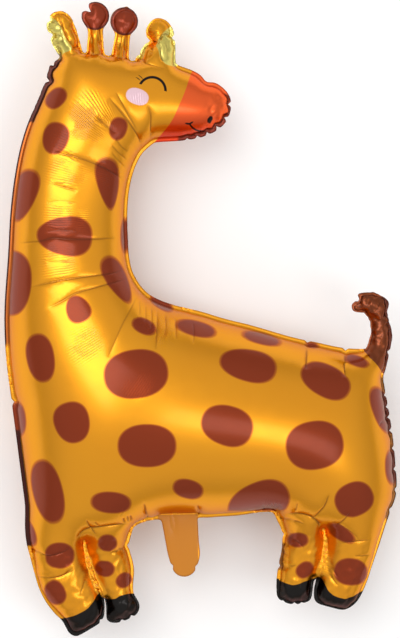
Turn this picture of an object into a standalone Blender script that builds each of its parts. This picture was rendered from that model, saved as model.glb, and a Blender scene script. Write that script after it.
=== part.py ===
"""Giraffe foil balloon: one sealed envelope of two foil sheets, welded together all round.

The balloon lies on its back sheet. +Y runs from the hooves to the head, +X from the chest to
the tail and +Z up out of the front sheet. The origin is under the middle of the outline, on
the surface that the balloon lies on. Units are metres.

The outline is the union of a few named shapes: the body with its neck and head, four legs,
two ears, two horns, the tail and the flat filling tab. Their points are shares of the
balloon's height, in thousandths, so that on the real balloon they read as millimetres. The
gas swells the space inside the weld as pressure swells a membrane: the half thickness is the
root of a field that is zero on the weld, which gives round limbs and a fuller, flatter body.
"""

import math

import bmesh
import bpy
import numpy as np
from mathutils import Vector
from mathutils.geometry import delaunay_2d_cdt

# Driving sizes
HEIGHT = 1.000
FLANGE_WIDTH = 0.006
WELD_THICKNESS = 0.0024
FULLNESS = 0.88
SMALL_PIECES_FULLNESS = 0.80
REST_FLAT_DEPTH = 0.014
TAB_LENGTH = 0.100
TAB_WIDTH = 0.056
LEG_WELD_WIDTH = 0.007

# Fineness of the mesh
CURVE_STEP = 0.002
BALL_LEAST_STEPS = 12
TAB_END_STEPS = 12
CORNER_PASSES = 6
CORNER_TURN = math.radians(15)
LEAST_EDGE = 0.0038
MOST_EDGE = 0.022
RING_DEPTHS = (0.0025, 0.008, 0.018)
RING_ROOM = 0.93
RING_GAP_SHARE = 0.35
INNER_GAP_SHARE = 0.9
RIDGE_PASSES = 24
RIDGE_SHRINK = 0.93
RIDGE_TOUCH = 0.97
RIDGE_MOST = 0.99
RIDGE_GAP = 0.0045
WELD_LINE_SKIP = 4
TAB_WELD_STEPS = 4
LATTICE_STEP = 0.026
LATTICE_DEPTH = 0.032
LATTICE_GAP_SHARE = 0.6
ROOT_STEP = 0.010
ROOT_REACH = 0.030
ROOT_DEPTH = 0.012
EDGE_ROOM = 1.01
MERGE_GAP = 1e-6
LEAST_SQUARE = 1e-12

# The outlines below are in parts of the balloon's height
PARTS_OF_HEIGHT = 1000

# The body, neck and head: open stretches of the outline between its corners
BACK_OF_NECK = [(-235, 898), (-245, 865), (-271, 803), (-285, 753), (-296, 680), (-301, 602),
                (-307, 515), (-305, 444), (-296, 370), (-286, 290), (-276, 208), (-272, 165)]
BELLY = [(-272, 165), (-181, 167), (-112, 172), (-85, 182), (-40, 186), (0, 189),
         (57, 192), (118, 193), (205, 165), (303, 183)]
RUMP = [(303, 183), (316, 220), (315, 258), (310, 310), (301, 365), (292, 411)]
TOP_OF_BACK = [(292, 411), (268, 449), (230, 453), (184, 463), (151, 470), (79, 491),
               (39, 501), (0, 513), (-44, 524), (-79, 539), (-99, 561), (-110, 587),
               (-114, 633), (-114, 680), (-108, 721), (-93, 758), (-72, 778)]
JAW = [(-72, 778), (-39, 780), (-11, 783), (8, 788), (27, 797), (41, 810), (49, 828)]
TOP_OF_HEAD = [(49, 828), (48, 848), (35, 865), (6, 881), (-31, 898), (-58, 897),
               (-94, 902), (-162, 915), (-194, 913), (-221, 907), (-238, 898)]

# The legs with their hooves, each closed through the body
FRONT_BIG_LEG = [(-271, 205), (-274, 151), (-267, 123), (-253, 74), (-233, 41), (-219, 28),
                 (-213, 13), (-198, 1), (-181, 9), (-155, 26), (-152, 58), (-160, 76),
                 (-172, 104), (-183, 152), (-183, 205)]
FRONT_SMALL_LEG = [(-184, 205), (-184, 152), (-173, 104), (-161, 76), (-150, 56), (-148, 26),
                   (-135, 21), (-118, 25), (-100, 35), (-96, 50), (-106, 69), (-105, 110),
                   (-113, 143), (-106, 172), (-100, 205)]
BACK_SMALL_LEG = [(117, 215), (119, 190), (131, 163), (131, 134), (124, 98), (124, 57),
                  (141, 46), (161, 45), (178, 52), (182, 80), (195, 97), (202, 123),
                  (198, 169), (193, 215)]
BACK_BIG_LEG = [(192, 215), (196, 169), (199, 122), (193, 96), (185, 80), (185, 49),
                (210, 39), (232, 34), (252, 46), (267, 74), (275, 98), (289, 139),
                (303, 183), (311, 215)]
FRONT_LEG_WELD = [(-185, 158), (-180, 128), (-172, 103), (-162, 78), (-151, 56)]
BACK_LEG_WELD = [(195, 168), (200, 146), (199, 122), (192, 97), (183, 80)]

# The filling tab hangs straight down from the belly, between the legs
TAB_ROOT = (-35, 192)
TAB_SWAY = (10, 0)
TAB_SHOULDER = 0.68
TAB_SHOULDER_SHARE = 0.9
TAB_END_SHARE = 0.74
TAB_CORNER_DROP = 0.35

# The tail bends up from the rump to a tuft that leans forward
TAIL = [(266, 440), (273, 475), (272, 494), (266, 505), (259, 510), (244, 511), (242, 521),
        (247, 528), (258, 528), (250, 537), (255, 541), (270, 541), (277, 543), (288, 537),
        (302, 529), (304, 522), (300, 513), (304, 493), (309, 474), (306, 457), (301, 432),
        (291, 405)]

# Ears and horns stand on the top of the head
LEFT_EAR = [(-206, 900), (-225, 918), (-236, 942), (-240, 962), (-231, 978), (-214, 981),
            (-201, 971), (-192, 948), (-186, 925), (-182, 905)]
RIGHT_EAR = [(-98, 888), (-101, 908), (-90, 927), (-83, 936), (-85, 954), (-71, 971),
             (-53, 968), (-41, 950), (-39, 920), (-43, 885)]
HORN_STEM_WIDTH = 0.023
HORN_FOOT_WIDTH = 0.030
HORN_BALL_DIAMETER = 0.044
LEFT_HORN = ((-164, 895), (-164, 974))
RIGHT_HORN = ((-128, 890), (-119, 966))

# Where small shapes join larger ones
ROOTS = [(-195, 905), LEFT_HORN[0], RIGHT_HORN[0], (-70, 893), (280, 432), TAB_ROOT,
         FRONT_LEG_WELD[0], BACK_LEG_WELD[0], (-104, 165), (121, 180)]

COLLECTION_NAME = "giraffe_foil_balloon"
NODE_NAME = "foil_envelope"
FOIL_COLOUR = (0.72, 0.35, 0.03, 1.0)
FOIL_ROUGHNESS = 0.22
SMOOTH_ANGLE = math.radians(40)


def clear_scene():
    for item in list(bpy.data.objects):
        bpy.data.objects.remove(item, do_unlink=True)


def at_height(point):
    """A point in thousandths of the height, in metres."""
    return Vector((point[0], point[1])) * (HEIGHT / PARTS_OF_HEIGHT)


def along(points, closed=False):
    """A smooth curve through the points, cut into short steps."""
    points = [at_height(point) for point in points]
    count = len(points)
    spans = count if closed else count - 1
    curve = []
    for i in range(spans):
        if closed:
            before, here, there, after = (points[(i + k) % count] for k in (-1, 0, 1, 2))
        else:
            here, there = points[i], points[i + 1]
            before = points[i - 1] if i else here * 2 - there
            after = points[i + 2] if i + 2 < count else there * 2 - here
        chord = (there - here).length
        start = (there - before) * (chord / ((here - before).length + chord))
        end = (after - here) * (chord / ((after - there).length + chord))
        steps = max(1, round(chord / CURVE_STEP))
        for k in range(steps):
            t = k / steps
            curve.append(
                here * (2 * t**3 - 3 * t**2 + 1)
                + start * (t**3 - 2 * t**2 + t)
                + there * (3 * t**2 - 2 * t**3)
                + end * (t**3 - t**2)
            )
    if not closed:
        curve.append(points[-1])
    return curve


def body_shape():
    ring = []
    for stretch in (BACK_OF_NECK, BELLY, RUMP, TOP_OF_BACK, JAW, TOP_OF_HEAD):
        ring.extend(along(stretch)[:-1])
    return ring


def horn_shape(foot, ball):
    """A stem that narrows from its foot, with a round ball on it."""
    foot, ball = at_height(foot), at_height(ball)
    up = (ball - foot).normalized()
    side = Vector((up.y, -up.x))
    radius = HORN_BALL_DIAMETER / 2
    half_stem = HORN_STEM_WIDTH / 2
    neck_turn = math.asin(half_stem / radius)
    steps = max(BALL_LEAST_STEPS, round(2 * math.pi * radius / CURVE_STEP))
    ring = [foot - side * HORN_FOOT_WIDTH / 2]
    for k in range(steps + 1):
        turn = neck_turn + (2 * math.pi - 2 * neck_turn) * k / steps
        ring.append(ball - up * radius * math.cos(turn) - side * radius * math.sin(turn))
    ring.append(foot + side * HORN_FOOT_WIDTH / 2)
    return ring


def tab_shape():
    """A flat strip, narrower past its shoulders, with a round end."""
    root = at_height(TAB_ROOT)
    shoulder = root + at_height(TAB_SWAY) + Vector((0, -TAB_SHOULDER * TAB_LENGTH))
    half = TAB_WIDTH / 2
    shoulder_half = half * TAB_SHOULDER_SHARE
    end_half = half * TAB_END_SHARE
    end_length = TAB_LENGTH * (1 - TAB_SHOULDER)
    ring = [root + Vector((-half, 0)), shoulder - Vector((shoulder_half, 0))]
    for k in range(TAB_END_STEPS + 1):
        turn = math.pi * k / TAB_END_STEPS
        drop = end_length * (TAB_CORNER_DROP + (1 - TAB_CORNER_DROP) * math.sin(turn))
        ring.append(shoulder + Vector((-end_half * math.cos(turn), -drop)))
    ring += [shoulder + Vector((shoulder_half, 0)), root + Vector((half, 0))]
    return ring


def weld_lines():
    """The welds inside the outline: between each pair of legs, and across the tab's root."""
    root = at_height(TAB_ROOT)
    half = Vector((TAB_WIDTH / 2 + FLANGE_WIDTH, 0))
    lines = [along(FRONT_LEG_WELD), along(BACK_LEG_WELD)]
    lines = [line[::WELD_LINE_SKIP] + [line[-1]] for line in lines]
    across = [root + half * (k / TAB_WELD_STEPS) for k in range(-TAB_WELD_STEPS, TAB_WELD_STEPS + 1)]
    return lines + [across]


def shapes():
    """Every shape of the outline, as closed rings of points."""
    return {
        "body": body_shape(),
        "front_big_leg": along(FRONT_BIG_LEG, closed=True),
        "front_small_leg": along(FRONT_SMALL_LEG, closed=True),
        "back_small_leg": along(BACK_SMALL_LEG, closed=True),
        "back_big_leg": along(BACK_BIG_LEG, closed=True),
        "tail": along(TAIL, closed=True),
        "left_ear": along(LEFT_EAR, closed=True),
        "right_ear": along(RIGHT_EAR, closed=True),
        "left_horn": horn_shape(*LEFT_HORN),
        "right_horn": horn_shape(*RIGHT_HORN),
        "tab": tab_shape(),
    }


def joined_outline(rings):
    """The outer edge of all the shapes together, anticlockwise."""
    points = []
    faces = []
    for ring in rings:
        faces.append(list(range(len(points), len(points) + len(ring))))
        points.extend(ring)
    points, _, triangles, *_ = delaunay_2d_cdt(points, [], faces, 1, MERGE_GAP)
    sides = set()
    for a, b, c in triangles:
        sides.update(((a, b), (b, c), (c, a)))
    following = {a: b for a, b in sides if (b, a) not in sides}
    loops = []
    while following:
        start, here = following.popitem()
        loop = [start]
        while here != start:
            loop.append(here)
            here = following.pop(here)
        loops.append(loop)
    longest = max(loops, key=len)
    return [points[i] for i in longest]


def rounded(ring):
    """The ring in even steps, with its corners rounded."""
    ring = np.array(ring)
    edges = np.linalg.norm(np.roll(ring, -1, axis=0) - ring, axis=1)
    length = np.concatenate([[0], np.cumsum(edges)])
    even = np.linspace(0, length[-1], round(length[-1] / CURVE_STEP), endpoint=False)
    closed = np.vstack([ring, ring[:1]])
    ring = np.stack([np.interp(even, length, closed[:, k]) for k in (0, 1)], axis=1)
    for _ in range(CORNER_PASSES):
        ring = (np.roll(ring, -1, axis=0) + 2 * ring + np.roll(ring, 1, axis=0)) / 4
    return ring


def inward(ring):
    """The direction into the shape at each point of its ring."""
    way = np.roll(ring, -1, axis=0) - np.roll(ring, 1, axis=0)
    way /= np.linalg.norm(way, axis=1)[:, None]
    return np.stack([-way[:, 1], way[:, 0]], axis=1)


def near_roots(points):
    roots = np.array([at_height(root) for root in ROOTS])
    return np.linalg.norm(points[:, None] - roots[None], axis=2).min(axis=1) < ROOT_REACH


def thinned(ring):
    """Which points of the ring to keep, close together only where it turns."""
    way = inward(ring)
    most = np.where(near_roots(ring), ROOT_STEP, MOST_EDGE)
    kept = [0]
    for i in range(1, len(ring)):
        gap = np.linalg.norm(ring[i] - ring[kept[-1]])
        turned = math.acos(np.clip(way[i] @ way[kept[-1]], -1, 1))
        if gap >= most[i] or (turned >= CORNER_TURN and gap >= LEAST_EDGE):
            kept.append(i)
    if np.linalg.norm(ring[kept[-1]] - ring[0]) < LEAST_EDGE:
        kept.pop()
    return kept


def distance_to(points, ring, closed=True):
    """Each point's distance to a ring or line of points."""
    start = np.array(ring)
    end = np.roll(start, -1, axis=0)
    if not closed:
        start, end = start[:-1], end[:-1]
    way = end - start
    nearest = np.full(len(points), np.inf)
    for p, d in zip(start, way):
        share = np.clip((points - p) @ d / max(d @ d, LEAST_SQUARE), 0, 1)
        gap = np.linalg.norm(points - p - share[:, None] * d, axis=1)
        nearest = np.minimum(nearest, gap)
    return nearest


def is_inside(points, ring):
    corners = np.array(ring)
    inside = np.zeros(len(points), bool)
    for (x0, y0), (x1, y1) in zip(corners, np.roll(corners, -1, axis=0)):
        if y0 == y1:
            continue
        crosses = (points[:, 1] > min(y0, y1)) & (points[:, 1] <= max(y0, y1))
        x_there = x0 + (points[:, 1] - y0) * (x1 - x0) / (y1 - y0)
        inside ^= crosses & (points[:, 0] < x_there)
    return inside


def ring_inside(outline, way, depth):
    """The outline's points moved inward by this depth, fanned out round its inner corners."""
    ahead = np.roll(outline, -1, axis=0) - outline
    ahead /= np.linalg.norm(ahead, axis=1)[:, None]
    edge_way = np.stack([-ahead[:, 1], ahead[:, 0]], axis=1)
    ways = (way, edge_way, np.roll(edge_way, 1, axis=0))
    found = np.vstack([outline + each * depth for each in ways])
    room = distance_to(found, outline) >= depth * RING_ROOM
    return spread(found[room & is_inside(found, outline)], depth * RING_GAP_SHARE)


def ridge(outline, way):
    """Points along the middle of the narrow limbs, where circles touch both sides."""
    reach = np.full(len(outline), LATTICE_DEPTH)
    for _ in range(RIDGE_PASSES):
        blocked = distance_to(outline + way * reach[:, None], outline) < reach * RIDGE_TOUCH
        reach[blocked] *= RIDGE_SHRINK
    middle = outline + way * reach[:, None]
    narrow = (reach > FLANGE_WIDTH + RING_DEPTHS[0]) & (reach < LATTICE_DEPTH * RIDGE_MOST)
    return middle[narrow & is_inside(middle, outline)]


def lattice(outline, step, depth):
    """Points in rows a step apart, this far or more inside the outline."""
    corners = np.array(outline)
    low, high = corners.min(axis=0), corners.max(axis=0)
    row_height = step * math.sqrt(3) / 2
    found = []
    for row in range(int((high[1] - low[1]) / row_height) + 1):
        shift = step / 2 * (row % 2)
        for column in range(int((high[0] - low[0]) / step) + 1):
            found.append((low[0] + column * step + shift, low[1] + row * row_height))
    found = np.array(found)
    found = found[is_inside(found, outline)]
    return found[distance_to(found, outline) > depth]


def beside_welds(outline):
    """Points on and beside the weld lines inside the outline."""
    found = []
    depths = [0.0, LEG_WELD_WIDTH / 2]
    depths += [LEG_WELD_WIDTH / 2 + depth for depth in RING_DEPTHS[:2]]
    for line in weld_lines():
        for here, there in zip(line, line[1:]):
            side = (there - here).normalized().orthogonal()
            for depth in depths:
                found.extend((here + side * depth, here - side * depth))
        found.append(line[-1])
    found = np.array(found)
    found = found[is_inside(found, outline)]
    return found[distance_to(found, outline) > FLANGE_WIDTH]


def spread(points, least, settled=1):
    """The points, without those nearer than this to one before them, past the settled ones."""
    kept = points[:settled]
    for point in points[settled:]:
        if np.linalg.norm(kept - point, axis=1).min() >= least:
            kept = np.vstack([kept, point])
    return kept


def flat_mesh(outline, way, tab):
    """The sheet as points and triangles in the plane, finer near its edge and the roots."""
    rings = [beside_welds(outline), ring_inside(outline, way, FLANGE_WIDTH)]
    rings += [ring_inside(outline, way, FLANGE_WIDTH + depth) for depth in RING_DEPTHS]
    inner = spread(np.vstack(rings), RING_DEPTHS[0] * INNER_GAP_SHARE)
    inner = spread(np.vstack([inner, ridge(outline, way)]), RIDGE_GAP, len(inner))
    fine = lattice(outline, ROOT_STEP, ROOT_DEPTH)
    fine = fine[near_roots(fine)]
    inner = spread(np.vstack([inner, fine]), ROOT_STEP * LATTICE_GAP_SHARE, len(inner))
    coarse = lattice(outline, LATTICE_STEP, LATTICE_DEPTH)
    inner = spread(np.vstack([inner, coarse]), LATTICE_STEP * LATTICE_GAP_SHARE, len(inner))
    below_root = at_height(TAB_ROOT).y - LEG_WELD_WIDTH
    inner = inner[~(is_inside(inner, tab) & (inner[:, 1] < below_root))]
    points = [Vector(point) for point in np.vstack([outline, inner])]
    edge = list(range(len(outline)))
    points, _, triangles, *_ = delaunay_2d_cdt(points, [], [edge], 1, MERGE_GAP)
    return np.array(points), np.array(triangles)


def swelling(points, triangles, welded):
    """The field that pressure raises over the sheet, from zero on the weld."""
    count = len(points)
    stiffness = np.zeros((count, count))
    load = np.zeros(count)
    for a, b, c in triangles:
        corners = points[[a, b, c]]
        edges = corners[[2, 0, 1]] - corners[[1, 2, 0]]
        area = abs(edges[0][0] * edges[1][1] - edges[0][1] * edges[1][0]) / 2
        stiffness[np.ix_([a, b, c], [a, b, c])] += edges @ edges.T / (4 * area)
        load[[a, b, c]] += area / 3
    free = np.flatnonzero(~welded)
    field = np.zeros(count)
    field[free] = np.linalg.solve(stiffness[np.ix_(free, free)], load[free])
    return field


def half_thickness(points, triangles, outline, rings):
    """How far each point of a sheet stands off the weld's plane."""
    depth = distance_to(points, outline)
    welded = depth <= FLANGE_WIDTH * EDGE_ROOM
    for line in weld_lines():
        welded |= distance_to(points, line, closed=False) <= LEG_WELD_WIDTH / 2 * EDGE_ROOM
    in_body = is_inside(points, rings["body"]) & (points[:, 1] > 0)
    welded |= is_inside(points, rings["tab"]) & ~in_body
    full = np.full(len(points), FULLNESS)
    for name in ("left_ear", "right_ear", "left_horn", "right_horn", "tail"):
        full[is_inside(points, rings[name]) & ~in_body] = SMALL_PIECES_FULLNESS
    swollen = full * np.sqrt(2 * swelling(points, triangles, welded))
    return WELD_THICKNESS / 2 + swollen


def envelope_mesh():
    """Both sheets and the cut edge of the weld, as one closed mesh."""
    rings = shapes()
    ring = rounded(joined_outline(rings.values()))
    kept = thinned(ring)
    outline = ring[kept]
    points, triangles = flat_mesh(outline, inward(ring)[kept], rings["tab"])
    half = half_thickness(points, triangles, outline, rings)
    deepest = half.max() - REST_FLAT_DEPTH
    back = np.minimum(half, deepest)
    points = points - (points.min(axis=0) + points.max(axis=0)) / 2

    shape = bmesh.new()
    sheets = []
    for height in (deepest + half, deepest - back):
        sheets.append([
            shape.verts.new((x, y, z)) for (x, y), z in zip(points, height)
        ])
    front, under = sheets
    sides = set()
    for a, b, c in triangles:
        shape.faces.new((front[a], front[b], front[c]))
        shape.faces.new((under[c], under[b], under[a]))
        sides.update(((a, b), (b, c), (c, a)))
    for a, b in sides:
        if (b, a) not in sides:
            shape.faces.new((front[b], front[a], under[a], under[b]))
    bmesh.ops.recalc_face_normals(shape, faces=shape.faces)
    mesh = bpy.data.meshes.new(NODE_NAME)
    shape.to_mesh(mesh)
    shape.free()
    return mesh


def foil_material():
    material = bpy.data.materials.new("printed_foil")
    material.use_nodes = True
    shader = material.node_tree.nodes["Principled BSDF"]
    shader.inputs["Base Color"].default_value = FOIL_COLOUR
    shader.inputs["Metallic"].default_value = 1.0
    shader.inputs["Roughness"].default_value = FOIL_ROUGHNESS
    return material


def main():
    clear_scene()
    collection = bpy.data.collections.new(COLLECTION_NAME)
    bpy.context.scene.collection.children.link(collection)
    envelope = bpy.data.objects.new(NODE_NAME, envelope_mesh())
    envelope.data.materials.append(foil_material())
    envelope.data.shade_smooth()
    envelope.data.set_sharp_from_angle(angle=SMOOTH_ANGLE)
    collection.objects.link(envelope)


main()
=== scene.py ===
import math

import bpy
import numpy as np
from mathutils import Matrix, Vector
from mathutils.bvhtree import BVHTree
from mathutils.geometry import delaunay_2d_cdt
from mathutils.kdtree import KDTree


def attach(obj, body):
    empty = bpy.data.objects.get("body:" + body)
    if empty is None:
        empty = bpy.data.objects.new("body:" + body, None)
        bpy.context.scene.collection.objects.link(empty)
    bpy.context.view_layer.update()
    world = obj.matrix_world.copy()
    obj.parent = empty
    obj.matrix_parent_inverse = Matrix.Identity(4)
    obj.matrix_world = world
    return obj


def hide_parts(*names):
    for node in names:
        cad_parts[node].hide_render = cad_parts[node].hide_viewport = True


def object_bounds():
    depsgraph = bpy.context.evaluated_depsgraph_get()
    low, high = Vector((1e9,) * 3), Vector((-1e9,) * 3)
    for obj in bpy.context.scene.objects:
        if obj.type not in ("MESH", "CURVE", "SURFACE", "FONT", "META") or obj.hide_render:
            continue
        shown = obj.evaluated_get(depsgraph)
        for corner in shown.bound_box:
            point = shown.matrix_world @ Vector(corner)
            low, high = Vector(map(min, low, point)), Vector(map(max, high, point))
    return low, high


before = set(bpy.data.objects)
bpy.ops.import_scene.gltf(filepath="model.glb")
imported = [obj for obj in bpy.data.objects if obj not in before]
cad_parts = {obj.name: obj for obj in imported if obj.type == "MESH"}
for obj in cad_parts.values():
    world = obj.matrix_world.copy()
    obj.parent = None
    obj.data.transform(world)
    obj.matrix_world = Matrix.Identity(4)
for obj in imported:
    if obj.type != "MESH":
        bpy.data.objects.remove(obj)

CAD_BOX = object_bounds()
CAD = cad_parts["foil_envelope"].data
SEED = 7
MILLIMETRES = 1000

# The photograph, and the camera that sees the balloon as it does
PHOTO_WIDTH = 400
PHOTO_HEIGHT = 638
PIXEL = 0.001575
PHOTO_CENTRE = (-0.0047, 0.0021)
CAMERA_DISTANCE = 3.6
CAMERA_LEFT = math.radians(7)
CAMERA_UP = math.radians(3)
SENSOR = 36.0

# Widths of the welds, in metres, as on the solid, and how they are drawn on
FLANGE_WIDTH = 0.006
NARROWER = 0.6
LEG_WELD_WIDTH = 0.005
FOIL_THICKNESS = 0.0008
HALF_FLANGE = 0.0012
WELD_RUN_ON = 0.012
WELD_SOFTENING = 3
LEG_WELDS = [
    [(-0.190, -0.341), (-0.185, -0.371), (-0.177, -0.396), (-0.167, -0.421), (-0.156, -0.443)],
    [(0.190, -0.331), (0.195, -0.353), (0.194, -0.377), (0.187, -0.402), (0.178, -0.419)],
]
TAB_ROOT = (-0.0397, -0.3068)
TAB_WIDTH = 0.056
TAB_BOX_DEPTH = 0.130
TAB_MARGIN = 0.004

# Fineness of the mesh, in metres
OUTLINE_STEP = 0.0024
WELD_STEP = 0.0024
BAND_RINGS = 5
BAND_DEPTH = 0.012
BAND_REACH_SHARE = 0.75
LATTICE_STEP = 0.0050
FINE_STEP = 0.0021
FINE_ROOM = 0.0014
CREASE_STEP = 0.0022
CREASE_ROWS = (0.0, 0.0011, -0.0011, 0.0024, -0.0024)
TAB_LATTICE_STEP = 0.004
MERGE_GAP = 1e-7
CREASE_ROOM = 0.8 * CREASE_ROWS[1]

# Shares of the widths, steps and reaches above, and counts, that keep the mesh even
WELD_KEPT = 0.985
MIDDLE_KEPT = 0.47
TAB_ROOM_SHARE = 0.8
RING_ROOM_SHARE = 0.4
KEPT_APART = 0.6
FINE_INSIDE = 0.2
BAND_FREE = 0.96
BAND_SHRINK = 0.9
BAND_MOST = 0.85
BAND_TRIES = 26
BAND_NEIGHBOURS = 4

# Places of the two numbers and the two colours among a mix node's inputs, and of its
# colour among its outputs
MIX_NUMBERS = (2, 3)
MIX_COLOURS = (6, 7)
MIXED_COLOUR = 2

# Limits of the arithmetic
GRID_PER_METRE = 1e5
LEAST_RISE = 0.001
SOLVER_STEPS = 3000
SOLVER_ENOUGH = 1e-12
LEAST_AREA = 1e-12
TINY = 1e-15

# Printed spots, in the photograph's pixels: middle, half length, half width, tilt in degrees
# clockwise, and how much the end that the tilt points to is narrower
SPOTS = [
    (56.1, 98.2, 12.3, 8.8, -45, 0), (55.5, 138.3, 16.3, 13, 105, 0.1),
    (118.2, 128.8, 11.8, 9, 105, 0.1), (108.2, 184, 26.3, 11, 84, 0.45),
    (24.5, 195.5, 27, 11.5, 107, 0.3), (64.5, 236, 28, 19.5, 183, 0.22),
    (11.5, 283, 32.5, 20, 88, 0.15), (40.5, 358, 24.5, 14, 80, 0.05),
    (77.8, 309, 14, 12.2, 245, 0.18), (117.5, 280, 26, 10.2, 62, 0.3),
    (136, 374, 32.3, 24.5, -8, 0), (144, 326.2, 12.8, 7.8, 25, 0),
    (196, 328.5, 20.8, 7.8, 14, 0), (261.5, 338.5, 20, 6, 14, 0),
    (248, 365.3, 28.8, 16, 12, -0.12), (325.5, 380.5, 26.5, 16, 28, -0.05),
    (357, 361, 12.5, 5.5, 20, 0), (382, 410, 24.5, 9.5, 70, 0),
    (72, 422.5, 20.8, 17.8, 75, 0.1), (147, 445.7, 29.3, 21.5, 0, 0),
    (47.8, 491.5, 32.5, 15, 76, 0), (111, 502.6, 20.2, 10.8, 4, 0),
    (188, 489, 15.5, 9.6, 14, 0), (227, 425.5, 26.3, 20, 18, -0.05),
    (314.7, 445.3, 29, 24.3, -10, 0), (258.8, 503, 32, 20.5, -22, -0.05),
    (354.2, 499.3, 19.8, 17, -25, 0), (392, 467, 17.5, 7, 88, 0),
    (17.5, 419, 17.5, 8.5, 85, 0), (29.5, 533, 13.5, 6, 70, 0),
    (59.5, 555.5, 15, 13, 0, 0), (55.4, 592.6, 12.6, 10, 62, 0),
    (107.5, 543, 9.6, 8.4, 0, 0), (104.7, 568.7, 9.9, 8, 10, 0),
    (124, 580.2, 8.6, 7.2, -40, 0), (297.5, 540, 10.8, 7.4, 0, 0),
    (304.8, 569.8, 9.5, 7.6, -35, 0), (350.5, 571.8, 16.8, 13.6, 5, 0),
    (341, 533.6, 15.8, 6.6, 31, 0), (125.5, 235.5, 17.5, 5, 90, 0),
    (161.5, 303.5, 13, 5.5, 32, 0), (312, 345, 7, 3, 10, 0),
]
SPOT_SQUARENESS = 2.25
LOWEST_BODY_SPOT = 511.0
BELLY = (150, 300)
BELLY_ROOM = 12
OUTSIDE = -50.0

# Other printed areas, as lines or shapes of pixels
MUZZLE_LINE = [(196, 62), (190, 76.5), (185.5, 90), (180.5, 102), (171, 122), (155, 142), (148, 152)]
HOOF_LINE = [(40, 617), (59, 618.6), (73, 616), (88, 608), (98.5, 594), (102, 597), (114, 599),
             (131, 593.5), (200, 592), (274, 579), (280.5, 581), (294, 585), (312, 579),
             (321, 578), (330.5, 593), (346, 598.5), (363, 590.5), (380, 580)]
TAIL_LINE = [(340, 322), (361, 334), (364, 351), (378, 366), (386, 379), (400, 392)]
EAR_PANELS = [
    [(48, 13), (54, 19), (59, 23), (62, 29), (65, 37), (70, 44), (72, 49), (64, 53), (60, 59),
     (50, 60), (44, 46), (40, 28)],
    [(158, 38), (163, 33), (170, 27), (178, 22), (179, 40), (179, 64), (168, 65), (161, 58),
     (158, 49), (155, 43)],
    [(132, 53), (138, 45), (145, 39), (149, 42), (145, 50), (143, 56), (137, 58)],
]
HORN_BALLS = [(95.2, 15.5, 14.6), (124.8, 21.3, 14.2)]
MUZZLE_LEFT = 144
MUZZLE_LOW = 158
TAIL_LEFT = 335
CHEEK = (137.3, 96.5, 11.6, 8.0, 20, 0.0)
NOSTRIL = (210.0, 119.8, 4.0, 2.6, -65, 0.0)

# The dark and brown stripes along the left edge, left of this place in metres. Each dark part
# has its first and last row, and how far outside the weld it starts, all in pixels.
NAPE = -0.20
MANE_PARTS = [(60, 122, -1.0), (110, 345, 2.3), (430, 546, -0.3)]
MANE_FADE = 3
BROWN_ROWS = (118, 345)
BROWN_FADE = 8
BROWN_RIM = 0.6

# Thin printed strokes: arcs through three pixels, with the stroke's width
STROKES = [
    ((140.3, 84.2), (152.0, 77.2), (165.5, 91.2), 2.6),
    ((136.3, 77.8), (138.2, 78.7), (139.6, 80.2), 1.0),
    ((139.0, 75.7), (140.8, 77.0), (142.4, 79.0), 1.0),
    ((185.7, 122.8), (189.2, 123.8), (192.4, 121.6), 1.8),
    ((189.7, 123.6), (194.6, 129.2), (203.6, 130.9), 1.8),
]

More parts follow.
